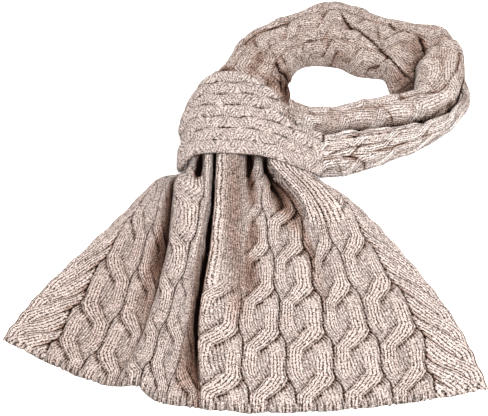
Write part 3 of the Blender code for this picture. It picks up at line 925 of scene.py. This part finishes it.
# ---- the band ----
LANE = 15.5  # width of the border and of each rope
LEAF = 32.0  # length of one leaf of a rope
LEAF_SLANT = 0.45  # how far a leaf's boundary runs along the rope, as a share of its length
LANE_OFFSET = 19.0  # each rope's leaves start this much further on than its neighbour's
NOTCH_Y = 80.0  # where the band is drawn in at its left side
NOTCH_RUN = 8.0
NOTCH_DEPTH = 5.0
STITCH = 3.9  # width and length of one stitch on the band, whose wales lie across it
ROW = 3.4
UNDER_FROM = 0.56  # share of the way round where the band's plain underside starts
ROUND_STEPS = 250  # from the seam over the band to its underside
UNDER_STEPS = 24
ACROSS_STEPS = 141
BAND_MIDDLE = (0.0, 80.0, 20.0)
BAND_PURL = 0.35


def build_band():
    fine = np.linspace(0.0, UNDER_FROM, ROUND_STEPS)
    share = np.concatenate((fine, np.linspace(UNDER_FROM, 1.0, UNDER_STEPS)[1:]))
    across = np.linspace(0.0, 1.0, ACROSS_STEPS)
    base = band_point(share, across, 0.0)
    inside = band_point(share, across, BAND_WALL)
    middle_line = base[:, ACROSS_STEPS // 2][:, [0, 2]]
    run = running(np.hypot(*np.diff(middle_line, axis=0).T))
    width = np.sum(steps(base, 1), axis=1)
    s = np.repeat(run[:, None], len(across), axis=1)
    far = width[:, None] * across
    wander = 1.5 * soft_noise(s, far, 20.0, 31)
    lane = np.maximum(far + wander * ease(6.0, 16.0, far), 0.0) / LANE
    number = np.floor(lane)
    r = lane - number - 0.5
    # leaves: each swells from its boundary, and the line over it is deepest there
    start = number * LANE_OFFSET + 3.0 * np.sin(number * 2.3)
    cycle = (s + start) / LEAF - LEAF_SLANT * (0.5 - r)
    past = (cycle - np.floor(cycle)) * LEAF
    boundary = bell(np.minimum(past, LEAF - past), 1.5)
    line = bell((0.5 - np.abs(r)) * LANE, 1.3)
    reach = 0.06 + 0.94 * bell((past + LEAF / 2) % LEAF - LEAF / 2 - 4.0, 8.0)
    swell = 0.9 * np.cos(math.pi * r) * (0.7 + 0.3 * np.sin(math.pi * past / LEAF))
    relief = 3.0 + swell - 0.8 * boundary - 2.2 * line * reach
    border = 3.3 - 0.9 * bell((r - 0.5) * LANE, 1.2) * reach
    relief = np.where(number < 1, border, relief)
    rise = relief - 3.2 + 0.5 * soft_noise(s, far, 16.0, 32)
    rear = width[:, None] - far
    rise = rise - 2.4 * (ease(3.0, 0.0, far) + ease(3.5, 0.0, rear))
    under = ease(0.50, UNDER_FROM, share)[:, None]
    rise = rise * (1 - under)
    top = base + outward(normals(base), base - np.array(BAND_MIDDLE)) * rise[..., None]
    top[..., 2] = np.maximum(top[..., 2], LEAST_OUTER)
    for points in (top, inside):
        notch = bell(points[..., 1] - NOTCH_Y, NOTCH_RUN)
        points[..., 0] += NOTCH_DEPTH * notch * ease(-45.0, -70.0, points[..., 0])
    far_f, s_f, number_f = corners(far), corners(s), first_corner(number)
    turn = math.tau * s_f / (1.5 * LEAF) + number_f * 2.4
    lean = 3.4 * np.sin(turn) * (corners(lane) - number_f - 0.5)
    uv = np.stack((s_f / STITCH + lean, far_f / ROW - 0.8 * lean), axis=-1)
    rows, cols = subset(len(share)), subset(len(across))
    # painted shade in the ropes' crevices and beside raised ropes
    tones = (hollows(relief, 3, 0.9) * (1 - under), shade_of(rise, rise, 8, 8) * 0.5)
    tones = (*tones, np.full(s.shape, BAND_PURL))
    inner = inside[np.ix_(rows, cols)]
    item = shell("band", top, inner, rows, cols, uv, tones, LOOK["loop_band"])
    declare(
        item, "loop_band", "band_knit", flat=(0.345, 0.105), held="folded", rests_on=["fan_middle"]
    )


# ---- the neck's arms ----
def arm_section(near, far, base, height, count):
    """Points round an arm's section at equal spacing: under it from the middle, over, and back."""
    angle = np.linspace(0.0, math.pi, SECTION_SAMPLES)
    reach = np.sign(np.cos(angle)) * np.abs(np.cos(angle)) ** ARM_SQUARE
    across = np.concatenate((MEETING[:1], 0.5 * (1 - reach), MEETING[1:]))
    rise = np.concatenate(([0.0], np.sin(angle) ** ARM_SQUARE, [0.0]))
    lines = []
    for k in range(len(near)):
        x, y = (near[k, axis] + (far[k, axis] - near[k, axis]) * across for axis in (0, 1))
        z = base[k] + height[k] * rise
        run = running(np.sqrt(np.diff(x) ** 2 + np.diff(y) ** 2 + np.diff(z) ** 2))
        stops = np.concatenate((
            np.linspace(0.0, run[1], FOOT + 1)[:-1],
            np.linspace(run[1], run[-2], count),
            np.linspace(run[-2], run[-1], FOOT + 1)[1:],
        ))
        lines.append(np.stack([np.interp(stops, run, p) for p in (x, y, z)], axis=-1))
    return np.array(lines)


def crease_field(points, line):
    """Distance from a line seen from above, each point's side of it, and a fade at its ends."""
    best = np.full(points.shape[:-1], 1e9)
    side = np.ones(best.shape)
    fade = np.ones(best.shape)
    lengths = [math.dist(a, b) for a, b in zip(line[:-1], line[1:])]
    whole, before = sum(lengths), 0.0
    for (x0, y0), (x1, y1), length in zip(line[:-1], line[1:], lengths):
        ax, ay = (x1 - x0) / length, (y1 - y0) / length
        px, py = points[..., 0] - x0, points[..., 1] - y0
        along = np.clip(px * ax + py * ay, 0.0, length)
        d = np.hypot(px - ax * along, py - ay * along)
        nearer = d < best
        best = np.where(nearer, d, best)
        side = np.where(nearer, np.sign(ax * py - ay * px), side)
        share = (before + along) / whole
        fade = np.where(nearer, ease(0.0, 0.12, share) * ease(1.0, 0.88, share), fade)
        before += length
    return best, side, fade


def shades(points, patches):
    """Soft patches in folds that little light reaches."""
    total = np.zeros(points.shape[:-1])
    for x, y, radius, amount in patches:
        off = (points[..., 0] - x) ** 2 + (points[..., 1] - y) ** 2
        total = total + amount * np.exp(-(off / radius**2))
    return total


LIP_RUN = 9.0


def add_creases(points, rise, creases):
    """Presses lines into the cloth, and paints shade into them. Cloth left of a line may stand over
    it.
    """
    dark = np.zeros(rise.shape)
    for line, width, depth, lip, tone in creases:
        distance, side, fade = crease_field(points, line)
        trench = bell(distance, width) * (0.25 + 0.75 * fade)
        over = (side > 0) * bell(distance, LIP_RUN) * fade
        under = (side <= 0) * bell(distance, 2.5 * width) * fade
        rise = rise - depth * trench + lip * over - 0.4 * lip * under
        dark = np.maximum(dark, tone * np.maximum(trench, 0.6 * under))
    return rise, dark


ARM_CELL = 42.0  # length of a cable repeat on the arms
SEEN_FROM = (84.0, 97.0)  # x over which the painted shade along a meeting edge comes into view
BARE_FROM = (147.0, 158.0)  # y over which it is bare again, below BARE_BELOW of the height
BARE_BELOW = (0.85, 0.6)


def build_arm(piece, flat, rests_on, table, counts, knit, creases, patches, edges, shape):
    """An arm: table's stations swept into a tube of cloth whose edges meet underneath."""
    name, node, slot = piece
    count, along = counts
    column_count, strength, lined, gauge, purl = knit
    share = np.linspace(0.0, 1.0, along)
    values = [read(table, index, share) for index in range(1, len(table))]
    near, far = np.stack(values[0:2], axis=-1), np.stack(values[2:4], axis=-1)
    foot = values[4] if len(values) == 6 else np.zeros(along)
    height = values[-1]
    grid = arm_section(near, far, foot, height, count)
    if shape:
        grid = shape(grid)
    spine = 0.5 * (near + far)
    middle = np.concatenate((spine, (foot + 0.3 * height)[:, None]), axis=1)[:, None, :]
    normal = outward(normals(grid), grid - middle)
    run = running(steps(grid[:, grid.shape[1] // 2], 0))
    girth = np.cumsum(steps(grid, 1), axis=1)
    girth = np.concatenate((np.zeros((along, 1)), girth), axis=1)
    near_foot, far_foot = girth[:, FOOT:FOOT + 1], girth[:, -1 - FOOT:-FOOT]
    q = (girth - near_foot) / (far_foot - near_foot)
    s = np.repeat(run[:, None], grid.shape[1], axis=1)
    w, cells = q * column_count * COLUMN_WALES, s / ARM_CELL
    number = np.floor(w / COLUMN_WALES)
    a = w - number * COLUMN_WALES - HALF_COLUMN
    relief, owner = columns(a, cells, strength * lined, strength)
    above = ease(-0.01, 0.03, q) * ease(1.01, 0.97, q)
    rise = (relief - 3.0) * above
    rise = rise + soft_noise(s, q * 60.0, 20.0, 41) * above
    creased, dark = add_creases(grid, rise, creases)
    rise = rise + (creased - rise) * above
    top = grid + normal * rise[..., None]
    top[..., 2] = np.maximum(top[..., 2], LEAST_OUTER)
    inside = grid + normal * (np.minimum(lowest(rise), 0.0) - ARM_WALL)[..., None]
    inside[..., 2] = np.maximum(inside[..., 2], LEAST_INNER)
    a_f = corners(w) - first_corner(number) * COLUMN_WALES - HALF_COLUMN
    uv = gauge * np.stack(column_coords(a_f, corners(cells), first_corner(owner)), axis=-1)
    # painted shade where the arm's near or far side meets other cloth
    meeting = edges[0] * ease(0.10, 0.02, q) + edges[1] * ease(0.80, 0.86, q)
    meeting = meeting * ease(*SEEN_FROM, grid[..., 0])
    risen = (grid[..., 2] - foot[:, None]) / height[:, None]
    bare = ease(*BARE_FROM, grid[..., 1]) * ease(*BARE_BELOW, risen)
    clear = 1 - edges[1] * bare
    meeting, dark = meeting * clear, dark * clear * above
    # painted shade: nearly black in crevices, creases and meeting edges, browner beside strands, in
    # folds and in the listed patches
    hollow = np.maximum(np.maximum(hollows(relief) * 0.8, dark), meeting)
    deep = 0.1 * (owner == GROUND) * above + shade_of(rise, rise, 9, 14) + 0.25 * dark
    deep = unit(deep + shades(grid, patches) + 0.5 * meeting)
    rows, cols = subset(along), subset(grid.shape[1])
    tones = (hollow, deep, purl * ease(0.92, 0.75, q))
    item = shell(name, top, inside[np.ix_(rows, cols)], rows, cols, uv, tones, LOOK[node])
    declare(item, node, slot, flat=flat, held="folded", rests_on=rests_on)


def back_base(grid):
    """Keeps the far arm over the band's rear layer and under its front one."""
    x, y, z = grid[..., 0], grid[..., 1], grid[..., 2]
    floor = (BAND_WALL + GAP) * (1 - ease(*UNDER_REAR, y))
    roof = arch(x, y, BAND_WALL + GAP) - 2.5
    covered = 1 - ease(*COVERED_RUN, y)
    z = np.where(z > roof, z + (roof - z) * covered, z)
    return np.stack((x, y, np.maximum(z, floor)), axis=-1)


# creases: the line's points, then its width, depth, lip and tone, the strength of the shade painted
# in it
BACK_CREASES = (
    (((114, 254), (119, 240), (127, 226), (146, 212), (159, 197), (173, 184), (184, 170),
      (202, 156)), 1.1, 1.7, 2.2, 0.9),
    (((158, 232), (160, 210), (164, 190)), 1.4, 1.2, 0.8, 0.6),
    (((172, 235), (181, 225)), 1.6, 2, 1, 0.9),
    (((208, 221), (214, 206), (215, 190), (205, 176), (203, 158)), 4, 4, 1, 0.7),
    (((52, 207), (64, 216)), 1.3, 1, 0.6, 0.7),
    (((74, 207), (85, 208)), 1.3, 1, 0.6, 0.7),
    (((101, 187), (111, 197)), 1.5, 1.4, 0.6, 0.6),
    (((135, 170), (148, 177), (160, 178)), 1.6, 1.4, 0.6, 0.6),
    (((-10, 189), (3, 208), (18, 220), (32, 226), (64, 238)), 1.4, 1.4, 1.2, 0.6),
    (((16, 170), (16, 184), (23, 194)), 1.5, 1.2, 0.5, 0.5),
    (((24, 178), (26, 192), (33, 200)), 1.5, 1.2, 0.5, 0.5),
    (((38, 178), (42, 163), (56, 164), (70, 169)), 2.6, 3, 0.8, 1),
    (((43, 160), (43, 132)), 1.5, 1.8, 0, 1),
    (((49, 158), (48, 132)), 1.3, 1.4, 0, 0.9),
    (((55, 154), (53, 134)), 1.2, 1.2, 0, 0.9),
)
UPPER_CREASES = (
    (((158, 111), (166, 104), (171, 97)), 1.4, 1.2, 0.5, 0.6),
    (((94, 89), (104, 88.8), (122, 91), (145, 93), (165, 96.4), (190, 100.6), (214, 106.8),
      (236, 120)), 1.1, 0.3, 0, 1),
    (((230, 115), (243, 124), (251, 138), (255, 152)), 1.8, 1, 0, 1),
    (((248, 190), (250, 172), (245, 156), (232, 136), (222, 128), (200, 127), (168, 119)),
     1.2, 1.4, 0.8, 0.7),
    (((120, 111), (140, 113), (158, 111)), 1.2, 0.8, 0.4, 0.5),
)
LOWER_CREASES = (
    (((93, 101), (92, 90), (90.5, 78), (89, 64)), 1.5, 1.2, 0, 1),
    (((194, 92), (170, 84), (138, 77), (112, 74)), 1.3, 1.4, 0.8, 0.8),
    (((91, 50), (98, 55), (112, 60), (138, 65), (168, 72)), 1.3, 1.5, 0.8, 0.9),
    (((91, 70), (102, 72), (120, 76), (150, 84)), 1.2, 1.2, 0.6, 0.7),
    (((147, 59), (169, 65), (190, 75)), 1.2, 1, 0.5, 0.6),
    (((108, 51), (124, 50), (140, 48)), 1.4, 1.4, 0.6, 0.9),
    (((102, 46), (110, 41), (118, 36)), 1.3, 1, 0.4, 0.6),
)
# shades: x, y, radius, amount
BACK_SHADES = (
    (52, 160, 11, 0.45),
    (48, 143, 10, 0.5),
    (50, 127, 9, 0.6),
    (30, 143, 10, 0.4),
    (8, 158, 8, 0.3),
    (20, 176, 14, 0.2),
    (-22, 163, 6, 0.7),
    (208, 184, 12, 0.5),
    (190, 157, 14, 0.45),
    (202, 208, 12, 0.25),
    (110, 190, 16, 0.12),
)
UPPER_SHADES = (
    (61, 129, 7, 0.45),
    (72, 121.5, 6, 0.4),
    (83, 118, 5, 0.25),
    (98, 97, 9, 0.16),
    (228, 172, 30, 0.12),
    (120, 97, 9, 0.1),
    (142, 99, 9, 0.08),
)
LOWER_SHADES = (
    (259, 156, 10, 0.22),
    (254, 134, 10, 0.15),
)
ARMS = (
    # names of the piece, node and slot; flat size; what it rests on; stations; points over the
    # section and along it; cable columns, how strongly they and their lines show, scale of the
    # stitches, purl; creases; shades; painted shade where near and far side meet other cloth;
    # reshaping
    (("neck_far", "neck_back", "back_knit"), (0.235, 0.40), ["band"], BACK_STATIONS,
     (150, 440), (3, 0.65, 0.3, 1.0, 0.3), BACK_CREASES, BACK_SHADES, (0.0, 0.0), back_base),
    (("neck_upper", "neck_front_upper", "upper_knit"), (0.145, 0.26), ["neck_far"], UPPER_STATIONS,
     (110, 300), (2, 0.48, 0.35, 1.0, 0.25), UPPER_CREASES, UPPER_SHADES, (0.0, 1.0), None),
    (("neck_lower", "neck_front_lower", "lower_knit"), (0.115, 0.19), ["neck_upper"],
     LOWER_STATIONS, (90, 300), (3, 0.7, 0.7, 0.72, 0.1), LOWER_CREASES, LOWER_SHADES,
     (1.0, 0.0), None),
)


# ---- stage ----
VIEW_ELEVATION = 62.0
VIEW_DISTANCE = 1.35
VIEW_FOCAL = 1204.0 / 488.0 * 36.0
FLOOR_HALF = 6.0
FLOOR_CORNERS = ((-1, -1), (1, -1), (1, 1), (-1, 1))
LIGHTS = (
    # name, place, size, power
    ("key", (0.3, -0.35, 1.45), 0.9, 39.0),
    ("fill", (-0.5, 0.55, 1.4), 1.2, 7.0),
)


def stage():
    mesh = bpy.data.meshes.new("floor")
    places = [(FLOOR_HALF * x, FLOOR_HALF * y, 0) for x, y in FLOOR_CORNERS]
    mesh.from_pydata(places, [], [(0, 1, 2, 3)])
    mesh.materials.append(plain_material("floor_paper", (0.93, 0.93, 0.93)))
    floor = add_object("floor", mesh)
    floor.location = (0, 0, -0.0004)
    world = bpy.data.worlds.new("studio")
    bpy.context.scene.world = world
    world.use_nodes = True
    background = world.node_tree.nodes["Background"]
    background.inputs[0].default_value = (1.0, 0.96, 0.935, 1.0)
    background.inputs[1].default_value = 1.0
    for name, place, size, power in LIGHTS:
        light = bpy.data.lights.new(name, "AREA")
        light.shape = "DISK"
        light.size = size
        light.energy = power
        lamp = add_object(name, light)
        lamp.location = place
        lamp.rotation_mode = "QUATERNION"
        lamp.rotation_quaternion = (-Vector(place)).to_track_quat("-Z", "Y")
    camera = bpy.data.cameras.new("camera")
    camera.lens = VIEW_FOCAL
    camera.clip_start, camera.clip_end = 0.05, 20.0
    eye = add_object("camera", camera)
    tilt = math.radians(VIEW_ELEVATION)
    back = CENTRE[1] * MM + VIEW_DISTANCE * math.cos(tilt)
    eye.location = (-CENTRE[0] * MM, -back, VIEW_DISTANCE * math.sin(tilt))
    eye.rotation_euler = (math.radians(90 - VIEW_ELEVATION), 0.0, 0.0)
    bpy.context.scene.camera = eye
    bpy.context.scene.view_settings.view_transform = "Standard"


stage()
build_fan()
build_band()
for arm in ARMS:
    build_arm(*arm)
